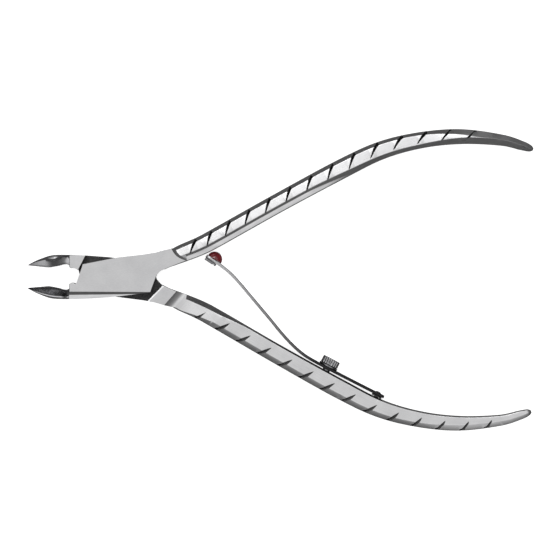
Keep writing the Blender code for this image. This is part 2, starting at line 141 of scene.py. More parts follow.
# Bores, mm: radii, and where the blind ones end
PIVOT_BORE = 1.65
PIVOT_BORE_TOP = 2.05
HEAD_BORE = 2.75
HEAD_SEAT = -1.60
BEAD_BORE = 0.58
BEAD_BORE_TOP = 1.13
STUD_BORE = 0.93
STUD_BORE_END = -3.4
FOOT_BORE = 0.53
FOOT_BORE_END = -2.8

# Pivot screw, mm
SCREW_RADIUS = 1.6
SCREW_TOP = 2.0
SCREW_HEAD = 2.7
SCREW_NECK, SCREW_BOTTOM = -1.65, -2.85
SCREW_SLOT = (9, 0.6, 1.1)

# Rivets and tension nut, mm
RIVET_HEAD = (3.0, 2.8, 0.62)
RIVET_HEAD_AT = 1.6
RIVET_SHANK = 0.55
RIVET_NOTCH = (0.5, 4.0, 0.5)
RIVET_NOTCH_AT = 0.95
WASHER_RADIUS = 2.3
WASHER_HEIGHT = 0.45
WASHER_ROUNDING = 0.1
KNOB_RADIUS = 2.15
KNOB_HEIGHT = 1.6
KNOB_BORE = 0.95
KNOB_RIBS = 20
STEPS_PER_RIB = 12
RIB_DEPTH = 0.16
STUD_RADIUS = 0.9
STUD_DEPTH = 2.6
FOOT_PAD = (2.4, 3.6, 0.36)
FOOT_RIVET = 0.5
FOOT_RIVET_DEPTH = 1.6
FOOT_HEAD = 0.64


# ---------------------------------------------------------------- geometry helpers


def smoothstep(low, high, value):
    share = min(1.0, max(0.0, (value - low) / (high - low)))
    return share * share * (3 - 2 * share)


def mix(a, b, share):
    return a + (b - a) * share


def smooth_line(stations, spacing):
    """Points on a smooth curve through the stations (Catmull-Rom), about spacing apart."""
    points = [Vector(station) for station in stations]
    padded = [2 * points[0] - points[1], *points, 2 * points[-1] - points[-2]]
    line = []
    for a, b, c, d in zip(padded, padded[1:], padded[2:], padded[3:]):
        steps = max(2, round((Vector(c[:2]) - Vector(b[:2])).length / spacing))
        for i in range(steps):
            t = i / steps
            line.append(
                (2 * b + (c - a) * t + (2 * a - 5 * b + 4 * c - d) * t * t
                 + (3 * b - a - 3 * c + d) * t**3) / 2
            )
    return [*line, points[-1]]


def side_of(line, i):
    """The unit vector to the left of a flat line at its point i."""
    along = line[min(i + 1, len(line) - 1)] - line[max(i - 1, 0)]
    return Vector((-along[1], along[0])).normalized()


def frame_at(line, distance, lift=0.0):
    """A matrix on a flat line: X along it, Z to its left, Y down. Lift moves it along Z."""
    for i, (a, b) in enumerate(zip(line, line[1:])):
        step = Vector((b - a)[:2])
        if distance <= step.length or i == len(line) - 2:
            break
        distance -= step.length
    along = step.normalized()
    forward = Vector((*along, 0))
    up = Vector((-along.y, along.x, 0))
    place = Vector((*a[:2], 0)) + forward * distance + up * lift
    turn = Matrix((forward, up.cross(forward), up)).transposed()
    return Matrix.Translation(place) @ turn.to_4x4()


def distance_to_x(line, x):
    """How far along a flat line it reaches x."""
    total = 0.0
    for a, b in zip(line, line[1:]):
        if b[0] >= x:
            return total + Vector((b - a)[:2]).length * (x - a[0]) / (b[0] - a[0])
        total += Vector((b - a)[:2]).length
    return total


def fillet(keys, radius, steps=3):
    """An open chain of 2-D keys with each inner corner rounded into steps + 1 points."""
    points = [Vector(keys[0])]
    for before, corner, after in zip(keys, keys[1:], keys[2:]):
        corner = Vector(corner)
        towards, away = Vector(before) - corner, Vector(after) - corner
        reach = min(radius, 0.45 * towards.length, 0.45 * away.length)
        start = corner + towards.normalized() * reach
        end = corner + away.normalized() * reach
        for i in range(steps + 1):
            t = i / steps
            points.append(start * (1 - t) ** 2 + corner * 2 * t * (1 - t) + end * t * t)
    points.append(Vector(keys[-1]))
    return points


def mesh_from(name, build):
    work = bmesh.new()
    work.loops.layers.uv.new("run")
    build(work)
    bmesh.ops.recalc_face_normals(work, faces=work.faces)
    mesh = bpy.data.meshes.new(name)
    work.to_mesh(mesh)
    work.free()
    return mesh


def loft(name, rings, stretch=1.0):
    """A skin over rings of equal length, closed at both ends, with UVs along and round it."""

    def build(work):
        uv = work.loops.layers.uv["run"]
        rows = [[work.verts.new(point) for point in ring] for ring in rings]
        along = [0.0]
        for ring, after in zip(rings, rings[1:]):
            along.append(along[-1] + (Vector(after[0]) - Vector(ring[0])).length * stretch)
        around = [0.0]
        middle = rings[len(rings) // 2]
        for i in range(len(middle)):
            gap = Vector(middle[(i + 1) % len(middle)]) - Vector(middle[i])
            around.append(around[-1] + gap.length)
        for k, (row, after) in enumerate(zip(rows, rows[1:])):
            for i in range(len(row)):
                j = (i + 1) % len(row)
                face = work.faces.new((row[i], row[j], after[j], after[i]))
                spots = ((k, i), (k, i + 1), (k + 1, i + 1), (k + 1, i))
                for loop, (s, r) in zip(face.loops, spots):
                    loop[uv].uv = (along[s], around[r])
        work.faces.new(rows[0])
        work.faces.new(rows[-1])

    return mesh_from(name, build)


def turned(name, profile, steps=64, closed=False):
    """A chain of (radius, height) turned about Z, capped flat unless it closes on itself."""

    def build(work):
        rings = []
        for i in range(steps):
            angle = 2 * math.pi * i / steps
            rings.append([
                work.verts.new((r * math.cos(angle), r * math.sin(angle), h)) for r, h in profile
            ])
        for ring, after in zip(rings, [*rings[1:], rings[0]]):
            if closed:
                ring, after = [*ring, ring[0]], [*after, after[0]]
            for corners in zip(ring, ring[1:], after[1:], after):
                work.faces.new(corners)
        if not closed:
            for end in (0, -1):
                work.faces.new([ring[end] for ring in rings])

    return mesh_from(name, build)


def extruded(name, outline, bottom, top, bevel=0.0):
    def build(work):
        low = [work.verts.new((x, y, bottom)) for x, y in outline]
        high = [work.verts.new((x, y, top)) for x, y in outline]
        rims = [work.faces.new(low), work.faces.new(high)]
        for i in range(len(outline)):
            j = (i + 1) % len(outline)
            work.faces.new((low[i], low[j], high[j], high[i]))
        if bevel:
            edges = {edge for face in rims for edge in face.edges}
            bmesh.ops.bevel(
                work, geom=list(edges), offset=bevel, segments=3, profile=0.5, affect="EDGES"
            )

    return mesh_from(name, build)


def block(name, size, centre=(0, 0, 0), bevel=0.0):
    def build(work):
        bmesh.ops.create_cube(work, size=1)
        bmesh.ops.scale(work, verts=work.verts, vec=size)
        bmesh.ops.translate(work, verts=work.verts, vec=centre)
        if bevel:
            bmesh.ops.bevel(
                work, geom=work.edges[:], offset=bevel, segments=3, profile=0.5,
                affect="EDGES",
            )

    return mesh_from(name, build)


def temporary(mesh, slots=()):
    obj = bpy.data.objects.new(mesh.name, mesh)
    bpy.context.scene.collection.objects.link(obj)
    if not mesh.materials:
        for material in slots:
            mesh.materials.append(material)
    return obj


def combined(mesh, steps, slots=()):
    """The mesh after each (other mesh, operation, slot) in turn. Slot None keeps the faces' own."""
    base = temporary(mesh, slots)
    others = []
    for other, operation, slot in steps:
        cutter = temporary(other, slots)
        if slot is not None:
            for face in other.polygons:
                face.material_index = slot
        others.append(cutter)
        modifier = base.modifiers.new(other.name, "BOOLEAN")
        modifier.operation = operation
        modifier.solver = "EXACT"
        modifier.object = cutter
    bpy.context.view_layer.update()
    graph = bpy.context.evaluated_depsgraph_get()
    result = bpy.data.meshes.new_from_object(base.evaluated_get(graph))
    for obj in (base, *others):
        bpy.data.objects.remove(obj)
    return result


def smooth(mesh, angle=30):
    mesh.shade_smooth()
    mesh.set_sharp_from_angle(angle=math.radians(angle))
    return mesh


def piece(name, mesh, body, replaced, materials, matrix=None):
    """A finished piece, its millimetres turned into the row frame."""
    mesh.transform(TO_ROW @ Matrix.Scale(MM, 4) @ (matrix or Matrix()))
    mesh.name = name
    if materials:
        mesh.materials.clear()
        for material in materials:
            mesh.materials.append(material)
    obj = bpy.data.objects.new(name, mesh)
    bpy.context.scene.collection.objects.link(obj)
    even = obj.modifiers.new("even_normals", "WEIGHTED_NORMAL")
    even.keep_sharp = True
    if body:
        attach(obj, body)
    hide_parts(replaced)
    return obj


# ---------------------------------------------------------------- materials


def new_material(name, colour, roughness, metallic=1.0):
    material = bpy.data.materials.new(name)
    material.use_nodes = True
    shader = material.node_tree.nodes["Principled BSDF"]
    shader.inputs["Base Color"].default_value = (*colour, 1)
    shader.inputs["Roughness"].default_value = roughness
    shader.inputs["Metallic"].default_value = metallic
    return material, material.node_tree, shader


def coordinates(tree, scale, uv=False):
    """Object or run coordinates in mm, stretched by scale."""
    source = tree.nodes.new("ShaderNodeTexCoord")
    mapping = tree.nodes.new("ShaderNodeMapping")
    mapping.inputs["Scale"].default_value = scale
    tree.links.new(source.outputs["UV" if uv else "Object"], mapping.inputs["Vector"])
    return mapping.outputs["Vector"]


def noise(tree, vector, scale, detail=4.0, roughness=0.55):
    node = tree.nodes.new("ShaderNodeTexNoise")
    node.inputs["Scale"].default_value = scale
    node.inputs["Detail"].default_value = detail
    node.inputs["Roughness"].default_value = roughness
    tree.links.new(vector, node.inputs["Vector"])
    return node.outputs["Fac"]


def spread(tree, value, low, high):
    """A noise value widened from its middle range to low..high."""
    node = tree.nodes.new("ShaderNodeMapRange")
    node.inputs["From Min"].default_value = 0.3
    node.inputs["From Max"].default_value = 0.7
    node.inputs["To Min"].default_value = low
    node.inputs["To Max"].default_value = high
    tree.links.new(value, node.inputs["Value"])
    return node.outputs["Result"]


def blended(tree, factor, first, second):
    node = tree.nodes.new("ShaderNodeMix")
    node.data_type = "RGBA"
    node.inputs["A"].default_value = (*first, 1)
    node.inputs["B"].default_value = (*second, 1)
    tree.links.new(factor, node.inputs["Factor"])
    return node.outputs["Result"]


def bump(tree, height, strength, distance, under=None):
    node = tree.nodes.new("ShaderNodeBump")
    node.inputs["Strength"].default_value = strength
    node.inputs["Distance"].default_value = distance
    tree.links.new(height, node.inputs["Height"])
    if under:
        tree.links.new(under, node.inputs["Normal"])
    return node.outputs["Normal"]


def steel(name, light, dark, rough, lines, line_bump, uv=False, wave=0.0, shaded_end=None):
    """Brushed or polished steel: fine lines along a direction, soft mottling, faint waves.

    Rough is the range of roughness and lines the fineness of the lines along each axis. The last
    argument holds the run, in mm, over which painted shade darkens the far end to near black.
    """
    material, tree, shader = new_material(name, light, rough[0])
    fine = noise(tree, coordinates(tree, lines, uv), 1.0, detail=5.0)
    cloud = noise(tree, coordinates(tree, (260, 260, 260)), 1.0, detail=3.0)
    both = tree.nodes.new("ShaderNodeMath")
    both.operation = "ADD"
    tree.links.new(spread(tree, fine, 0.0, 0.55), both.inputs[0])
    tree.links.new(spread(tree, cloud, 0.0, 0.45), both.inputs[1])
    colour = blended(tree, both.outputs[0], light, dark)
    # Painted shade: along the run the colour darkens to near black by its end
    if shaded_end:
        run = tree.nodes.new("ShaderNodeSeparateXYZ")
        tree.links.new(coordinates(tree, (1, 1, 1), True), run.inputs["Vector"])
        fade = tree.nodes.new("ShaderNodeMapRange")
        fade.inputs["From Min"].default_value, fade.inputs["From Max"].default_value = shaded_end
        tree.links.new(run.outputs["X"], fade.inputs["Value"])
        ends = blended(tree, fade.outputs["Result"], light, PAINTED_SHADE)
        tree.links.new(colour, ends.node.inputs["A"])
        colour = ends
    tree.links.new(colour, shader.inputs["Base Color"])
    tree.links.new(spread(tree, fine, *rough), shader.inputs["Roughness"])
    normal = bump(tree, fine, line_bump, 0.00004)
    if wave:
        slow = noise(tree, coordinates(tree, (150, 150, 150)), 1.0, detail=1.0)
        normal = bump(tree, slow, wave, 0.0004, normal)
    tree.links.new(normal, shader.inputs["Normal"])
    return material


# Near black, used as painted shade on the spring's far end
PAINTED_SHADE = (0.03, 0.03, 0.031)
GROUND = steel(
    "ground_steel", (0.62, 0.62, 0.625), (0.50, 0.50, 0.51), (0.30, 0.42), (1500, 4200, 1500), 0.12
)
POLISHED = steel(
    "polished_steel", (0.76, 0.76, 0.765), (0.58, 0.58, 0.59), (0.26, 0.36), (0.25, 3.2, 1.0),
    0.05, uv=True, wave=0.05,
)
EDGE_GROUND = steel(
    "edge_ground_steel", (0.62, 0.62, 0.63), (0.46, 0.46, 0.48), (0.12, 0.22), (6000, 900, 900),
    0.08,
)
# The spring's far end darkens to near-black painted shade from 9 to 36 mm along its run
SPRING = steel(
    "spring_steel", (0.52, 0.52, 0.53), (0.36, 0.36, 0.37), (0.18, 0.30), (0.3, 3.5, 1.0), 0.15,
    uv=True, shaded_end=(9.0, 36.0),
)
DARK = steel(
    "hardware_steel", (0.26, 0.26, 0.27), (0.15, 0.15, 0.155), (0.22, 0.38), (2400, 2400, 2400),
    0.15,
)
KNURLED = steel(
    "knurled_steel", (0.46, 0.46, 0.47), (0.24, 0.24, 0.25), (0.14, 0.26), (3000, 3000, 3000), 0.2
)


def red_plastic():
    material, tree, shader = new_material("red_plastic", (0.17, 0.012, 0.018), 0.16, 0.0)
    swirl = noise(tree, coordinates(tree, (900, 900, 900)), 1.0)
    colour = blended(tree, spread(tree, swirl, 0.0, 1.0), (0.20, 0.014, 0.02), (0.12, 0.008, 0.012))
    tree.links.new(colour, shader.inputs["Base Color"])
    tree.links.new(spread(tree, swirl, 0.12, 0.22), shader.inputs["Roughness"])
    grain = noise(tree, coordinates(tree, (5200, 5200, 5200)), 1.0)
    tree.links.new(bump(tree, grain, 0.08, 0.00003), shader.inputs["Normal"])
    shader.inputs["IOR"].default_value = 1.5
    shader.inputs["Coat Weight"].default_value = 0.4
    shader.inputs["Coat Roughness"].default_value = 0.06
    return material


RED = red_plastic()
# Near-black painted shade for the pocket, the bores, the grooves' walls and floor, and the foot pad
SHADE_STEEL = steel(
    "painted_shade_steel", (0.07, 0.07, 0.07), (0.018, 0.018, 0.019), (0.35, 0.5), (2600, 2600, 2600), 0.1
)
# Hollow-ground steel darkened with painted shade, for the jaw facets that face +Y and up
FACET_SHADE = steel(
    "hollow_ground_painted_shade_steel", (0.20, 0.20, 0.205), (0.11, 0.11, 0.115), (0.22, 0.34),
    (5000, 900, 900), 0.1,
)
# Slot 3 is near-black painted shade; slot 4 is hollow-ground steel darkened with painted shade
LEVER_MATERIALS = (GROUND, POLISHED, EDGE_GROUND, SHADE_STEEL, FACET_SHADE)
SMOOTH, SHARPENED, SHADED, SHADED_FACET = 1, 2, 3, 4


# ---------------------------------------------------------------- levers


HANDLE_LINE = smooth_line(HANDLE, LINE_STEP)


def handle_section(x, width, height):
    """A ring of (across, up) at x, from the outer middle round. Height is half the thickness."""
    w, h = width / 2, height
    # The front land narrows to nothing near the tail, and its step runs out to the inner edge
    tail = smoothstep(70, 90, x)
    land_out = mix(0.60, 0.05, tail)
    land_edge = mix(0.93, 0.90, tail)
    outward = smoothstep(44, 64, x)
    step = mix(mix(-0.24, -0.56, outward), 0.02, tail)
    shelf = mix(step - 0.25, -0.94, outward)
    shelf_height = mix(mix(0.80, 0.50, outward), 0.30, tail)
    lip = mix(mix(0.69, 0.42, outward), 0.24, tail)
    front = (
        (w, 0.0), (w, 0.42 * h), (land_out * w, land_edge * h), (step * w, h),
        (shelf * w, shelf_height * h), (-0.96 * w, lip * h), (-w, 0.5 * lip * h), (-w, 0.0),
    )
    root = smoothstep(18, 32, x)
    inner = mix(-0.30, -0.84, root)
    inner_foot = mix(-0.15, -0.62, root)
    band = mix(0.42, 0.10, smoothstep(66, 90, x))
    rear = (
        (-w, 0.0), (-w, inner_foot * h), (inner * w, -h), (band * w, -h), (0.96 * w, -0.70 * h),
        (w, -0.35 * h), (w, 0.0),
    )
    return [*fillet(front, 0.11)[:-1], *fillet(rear, 0.14)[:-1]]


def handle_mesh():
    rings = []
    for i, point in enumerate(HANDLE_LINE):
        side = side_of(HANDLE_LINE, i)
        ring = []
        for across, up in handle_section(point[0], point[2], point[3]):
            place = Vector(point[:2]) + side * across
            ring.append((place.x, place.y, up))
        rings.append(ring)
    return loft("handle", rings)


def jaw_mesh():
    """Sections square to X: a dark back, a ridge, and facets ground down to the cutting edge."""
    rings = []
    for x, outer, cutting, half in smooth_line(JAW, 0.18):
        deep = cutting - outer
        lens = math.sin(math.pi * smoothstep(-17.0, -12.2, x))
        edge = 0.08 * half + CUTTING_EDGE
        front = [
            (0.0, 0.0), (0.0, 0.40 * half), (0.09, 0.78 * half), (0.14, 0.94 * half),
            (0.16, 0.98 * half), (0.26, half), (0.29, 0.97 * half),
        ]
        for i in range(1, 8):
            share = i / 7
            fall = (1 - share) ** 1.25
            front.append((mix(0.29, 0.90, share), 0.97 * half * fall + edge * (1 - fall)))
        front.append((1.0, CUTTING_EDGE))
        ridge = 0.11 + 0.20 * lens
        rear = [
            (0.0, -0.46 * half), (0.05, -0.80 * half), (0.09, -0.92 * half), (0.11, -0.94 * half),
            (ridge, -half), (ridge + 0.02, -0.97 * half), (ridge + 0.13, -0.56 * half),
            (ridge + 0.16, -0.50 * half),
        ]
        for i in range(1, 5):
            share = i / 4
            rear.append((mix(ridge + 0.16, 0.90, share), -mix(0.50 * half, edge, share)))
        rear.append((1.0, -CUTTING_EDGE))
        ring = [*front, *reversed(rear)]
        rings.append([(x, outer + across * deep, z) for across, z in ring])
    jaw = loft("jaw", rings)
    # Facets that face +Y and up get painted shade
    for face in jaw.polygons:
        hollow = face.normal.y > 0.25 and face.normal.z > 0.1
        face.material_index = SHADED_FACET if hollow else SHARPENED
    return jaw


def pocket_outline():
    """The rear half that makes room for the other lever's plate."""
    far = 12.0
    jaw_low, jaw_top = JAW_SHOULDER
    handle_top, handle_low = HANDLE_SHOULDER
    return [
        handle_top, (handle_top[0] - 2, far), (-far, far), (-far, jaw_top[1] + 0.9), jaw_top,
        jaw_low, (jaw_low[0] + 2, -far), (far, -far), (far, handle_low[1] - 1.9), handle_low,
    ]


def lower_bevel_mesh():
    """The ground bevel along the plate's lower edge: a steep step, then a shallow facet."""
    rings = []
    for x, top, foot in ((-11.6, -3.45, -4.28), (9.6, -3.40, -3.86)):
        rings.append([
            (x, top, HALF_JOINT + 0.02), (x, top, HALF_JOINT + 1), (x, -7.5, HALF_JOINT + 1),
            (x, -7.5, HALF_JOINT - 1.35), (x, foot, HALF_JOINT - 0.75),
        ])
    return loft("lower_bevel", rings)


# Scoops at the handle's root: the way along the handle, the rim on each face, mm, and each
# hollow as (distance from its rim, depth), mm
HANDLE_WAY = Vector((0.88, 0.47))
FRONT_RIM = (
    (12.2, 9.2), (12.8, 8.1), (13.4, 7.0), (14.0, 5.9), (14.9, 4.95), (16.3, 4.25), (18.6, 3.6),
)
REAR_RIM = ((10.6, 8.0), (11.9, 6.4), (12.6, 5.6), (14.4, 3.5), (15.9, 1.7))
FRONT_HOLLOW = (
    (0.0, -0.05), (0.05, 0.0), (0.2, 0.14), (0.5, 0.46), (0.8, 0.8), (1.05, 1.15), (1.3, 1.8),
    (1.5, 3.0),
)
REAR_HOLLOW = (
    (0.0, -0.05), (0.06, 0.0), (0.4, 0.25), (0.8, 0.50), (1.2, 0.74), (1.6, 0.94), (2.0, 1.08),
    (2.6, 1.18), (3.6, 1.22), (5.4, 1.12), (7.6, 0.95), (10.0, 0.77), (12.4, 0.56),
)


def scoop_mesh(name, rim, profile, face):
    """A hollow that starts at a rim line on one face: profile holds (distance, depth)."""
    line = smooth_line(rim, 0.25)
    far = HANDLE_WAY * (profile[-1][0] + 2.5)
    rings = []
    for i, point in enumerate(line):
        rim_point = Vector(point[:2])
        side = side_of(line, i)
        places = [(rim_point + side * distance, depth) for distance, depth in profile]
        places += [(rim_point + far, profile[-1][1]), (rim_point + far, -1.0), (rim_point, -1.0)]
        rings.append([(at.x, at.y, face * (HALF_JOINT - depth)) for at, depth in places])
    return loft(name, rings)


# Grooves on the front and on the rear face. Mouth and run hold the share of the length and the
# depth as a share of deep, mm, and the end adds the lift off the face, mm. Length is in handle
# widths. Slopes are the left and right flanks' run for each mm of depth, flares the shallow rims
# beside them, mm, and dark the walls and floor drawn in near-black painted shade.
GROOVE_RUN = ((0.4, 0.75), (0.6, 0.55), (0.8, 0.34), (0.93, 0.15))
GROOVE_END = (1.0, 0.12, 0.10)
GROOVE_FLOOR = 0.03
GROOVE_RIM = 0.30
FRONT_GROOVES = {
    "name": "front_grooves", "face": 1, "lean": FRONT_LEAN, "first": FRONT_GROOVE,
    "crowded": CROWDED, "length": 1.0, "deep": 0.78, "slopes": (0.40, 0.85),
    "flares": (0.04, 0.08), "dark": (2, 3, 4, 5),
    "mouth": ((-0.45, 2.1), (-0.2, 1.9), (0.0, 1.65), (0.2, 0.98)),
}
REAR_GROOVES = {
    "name": "rear_grooves", "face": -1, "lean": REAR_LEAN, "first": REAR_GROOVE,
    "crowded": 0.0, "length": 0.80, "deep": 0.75, "slopes": (0.45, 1.25),
    "flares": (0.0, 0.30), "dark": (0, 1, 2, 3),
    "mouth": ((-0.45, 3.2), (-0.2, 2.8), (0.0, 2.3), (0.2, 1.1)),
}


def groove_mesh(kind):
    """Slanted notches along the handle's outer edge on one face: a steep and a shallow flank."""
    face, lean, deep = kind["face"], kind["lean"], kind["deep"]
    left_slope, right_slope = kind["slopes"]
    left_flare, right_flare = kind["flares"]
    stations = (*kind["mouth"], *GROOVE_RUN)
    run = (*((share, depth, 0.0) for share, depth in stations), GROOVE_END)

    def build(work):
        for number in range(GROOVES):
            crowding = kind["crowded"] * math.exp(-number / CROWDING)
            spot = frame_at(HANDLE_LINE, kind["first"] + number * GROOVE_PITCH + crowding)
            place = spot.translation
            near = min(HANDLE_LINE, key=lambda point: (Vector((*point[:2], 0)) - place).length)
            along = (spot.to_3x3() @ Vector((1, 0, 0))).normalized()
            out = (spot.to_3x3() @ Vector((0, 0, 1))).normalized()
            up = Vector((0, 0, face))
            inward = (-out * math.cos(lean) + along * math.sin(lean)).normalized()
            across = inward.cross(up) * face
            if across.dot(along) < 0:
                across = -across
            start = place + out * near[2] / 2 + up * near[3]
            length = near[2] * kind["length"]
            rings = []
            for share, depth, lift in run:
                base = start + inward * share * length + across * 0.25 * share * share + up * lift
                sink = deep * depth
                thin = min(1.0, depth * 3)
                left, right = left_slope * sink, right_slope * sink
                left_rim, right_rim = left + left_flare * thin, right + right_flare * thin
                shoulder = -0.06 * thin * sink
                chain = (
                    (-left_rim - GROOVE_RIM, GROOVE_RIM),
                    (-left_rim - 0.01, 0.004),
                    (-left, shoulder),
                    (-GROOVE_FLOOR, -sink),
                    (GROOVE_FLOOR, -sink),
                    (right, shoulder),
                    (right_rim + 0.01, 0.004),
                    (right_rim + GROOVE_RIM, GROOVE_RIM),
                )
                rings.append([base + across * shift + up * rise for shift, rise in chain])
            rows = [[work.verts.new(point) for point in ring] for ring in rings]
            for row, after in zip(rows, rows[1:]):
                for i in range(len(row)):
                    j = (i + 1) % len(row)
                    wall = work.faces.new((row[i], row[j], after[j], after[i]))
                    # The listed groove faces take painted shade
                    wall.material_index = SHADED if i in kind["dark"] else SMOOTH
            work.faces.new(rows[0])
            work.faces.new(rows[-1])

    return mesh_from(kind["name"], build)


def shoulder_bevel_mesh():
    """A bright ground edge along the handle's shoulder, on the rear face."""
    top, low = (Vector(point) for point in HANDLE_SHOULDER)
    along = (low - top).normalized()
    side = Vector((-along.y, along.x))
    rings = []
    for point in (top - along * 2, low + along * 2):
        foot, rim, behind = point, point + side * 0.34, point - side * 0.6
        rings.append([
            (foot.x, foot.y, -HALF_JOINT + 0.10), (rim.x, rim.y, -HALF_JOINT - 0.002),
            (rim.x, rim.y, -HALF_JOINT - 1), (behind.x, behind.y, -HALF_JOINT - 1),
            (behind.x, behind.y, -HALF_JOINT + 0.10),
        ])
    return loft("shoulder_bevel", rings)


def lever_mesh(root):
    outline = [*UPPER_EDGE, PLATE_CORNER, *root, *LOWER_EDGE, *CROTCH]
    joint = extruded("joint", outline, -HALF_JOINT, HALF_JOINT, BLOCK_BEVEL)
    pocket = extruded("pocket", pocket_outline(), -HALF_JOINT - 1, PLATE_GAP / 2)
    steps = (
        # The pocket's faces take painted shade
        (pocket, "DIFFERENCE", SHADED),
        (shoulder_bevel_mesh(), "DIFFERENCE", SMOOTH),
        (lower_bevel_mesh(), "DIFFERENCE", SMOOTH),
        (scoop_mesh("front_scoop", FRONT_RIM, FRONT_HOLLOW, 1), "DIFFERENCE", SMOOTH),
        (handle_mesh(), "UNION", SMOOTH),
        (scoop_mesh("rear_scoop", REAR_RIM, REAR_HOLLOW, -1), "DIFFERENCE", SMOOTH),
        (jaw_mesh(), "UNION", None),
        (groove_mesh(FRONT_GROOVES), "DIFFERENCE", None),
        (groove_mesh(REAR_GROOVES), "DIFFERENCE", None),
    )
    return combined(joint, steps, LEVER_MATERIALS)


def make_levers():
    # The bores' walls take painted shade
    blind = turned("front_hole", ((PIVOT_BORE, -1), (PIVOT_BORE, PIVOT_BORE_TOP)))
    front = combined(lever_mesh(FRONT_ROOT), ((blind, "DIFFERENCE", SHADED),), LEVER_MATERIALS)
    mesh = lever_mesh(REAR_ROOT)
    mesh.transform(TURNED_OVER)
    stepped = turned("rear_hole", (
        (PIVOT_BORE, 1), (PIVOT_BORE, HEAD_SEAT), (HEAD_BORE, HEAD_SEAT), (HEAD_BORE, -4),
    ))
    stud_bore = turned("stud_bore", ((STUD_BORE, 0), (STUD_BORE, STUD_BORE_END)))
    stud_bore.transform(leaf_spot(KNOB_X))
    foot_bore = turned("foot_bore", ((FOOT_BORE, 0), (FOOT_BORE, FOOT_BORE_END)))
    foot_bore.transform(leaf_spot(FOOT_X))
    steps = tuple((bore, "DIFFERENCE", SHADED) for bore in (stepped, stud_bore, foot_bore))
    rear = combined(mesh, steps, LEVER_MATERIALS)
    piece("front_lever_body", smooth(front), "front", "front_lever", ())
    piece("rear_lever_body", smooth(rear), "rear", "rear_lever", ())


# ---------------------------------------------------------------- screw, spring and hardware


LEAF = smooth_line(LEAF_CURVE, LINE_STEP)


def leaf_spot(x):
    """A matrix on the leaf's top face at x, Z out of the face."""
    return frame_at(LEAF, distance_to_x(LEAF, x), LEAF_THICKNESS / 2)


def make_pivot_screw():
    head, neck, bottom = SCREW_HEAD, SCREW_NECK, SCREW_BOTTOM
    profile = (
        (SCREW_RADIUS, SCREW_TOP), (SCREW_RADIUS, neck), (head - 0.12, neck),
        (head, neck - 0.12), (head, bottom + 0.2), (head - 0.08, bottom + 0.07),
        (head - 0.25, bottom), (head - 1.5, bottom - 0.03),
    )
    slot = block("slot", SCREW_SLOT, (0, 0, bottom - 0.02))
    mesh = combined(turned("screw", profile), ((slot, "DIFFERENCE", 0),), (DARK,))
    piece("pivot_screw_body", smooth(mesh), "rear", "pivot_screw", ())


def make_leaf():
    """A strip with rounded edges and a rounded tip."""
    rings = []
    half, thick = LEAF_WIDTH / 2, LEAF_THICKNESS / 2
    for i, point in enumerate(LEAF):
        side = side_of(LEAF, i)
        from_end = min(i, len(LEAF) - 1 - i, len(LEAF_TIP) - 1)
        wide = half * LEAF_TIP[from_end]
        keys = ((0, thick), (wide, thick), (wide, -thick), (0, -thick))
        right = fillet(keys, LEAF_ROUNDING)
        ring = [*right, *((-a, b) for a, b in reversed(right[1:-1]))]
        rings.append([(point.x + side.x * b, point.y + side.y * b, a) for a, b in ring])
    mesh = loft("leaf", rings)
    cuts = []
    for name, distance, radius in (
        ("bead_hole", BEAD_AT, BEAD_BORE),
        ("stud_hole", distance_to_x(LEAF, KNOB_X), STUD_BORE),
        ("foot_hole", distance_to_x(LEAF, FOOT_X), FOOT_BORE),
    ):
        hole = turned(name, ((radius, 1), (radius, -1)), 32)
        hole.transform(frame_at(LEAF, distance))
        cuts.append((hole, "DIFFERENCE", 0))
    leaf = piece(
        "leaf_spring_strip", smooth(combined(mesh, cuts, (SPRING,))), None, "leaf_spring",
        (),
    )
    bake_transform(leaf)


def make_bead():
    spot = frame_at(LEAF, BEAD_AT, LEAF_THICKNESS / 2 + FIT_GAP)
    arc = 20
    dome = []
    for i in range(1, arc + 1):
        angle = math.pi / 2 * i / arc
        dome.append((BEAD_RADIUS * math.sin(angle), BEAD_RADIUS * math.cos(angle)))
    dome[-1] = (BEAD_RADIUS, 0.10)
    profile = ((0.05, BEAD_RADIUS), *dome, (BEAD_RADIUS - 0.03, 0.03), (BEAD_RADIUS - 0.1, 0.0))
    bore = turned("bead_bore", ((BEAD_BORE, BEAD_BORE_TOP), (BEAD_BORE, -1)), 32)
    mesh = combined(turned("bead", profile), ((bore, "DIFFERENCE", 0),), (RED,))
    piece("glide_bead_dome", smooth(mesh), "bead", "glide_bead", (), spot)

    low = -LEAF_THICKNESS - 2 * FIT_GAP
    middle = RIVET_HEAD_AT - BEAD_AT
    head = block("head", RIVET_HEAD, (middle, 0, low - RIVET_HEAD[2] / 2), 0.16)
    notch = block("notch", RIVET_NOTCH, (middle + RIVET_NOTCH_AT, 0, low - 0.72), 0.12)
    shank = turned("shank", ((RIVET_SHANK, 1.1), (RIVET_SHANK, low - 0.3)), 32)
    steps = ((notch, "DIFFERENCE", 0), (shank, "UNION", 0))
    mesh = combined(head, steps, (DARK,))
    piece("bead_rivet_block", smooth(mesh), "bead", "bead_rivet", (), spot)


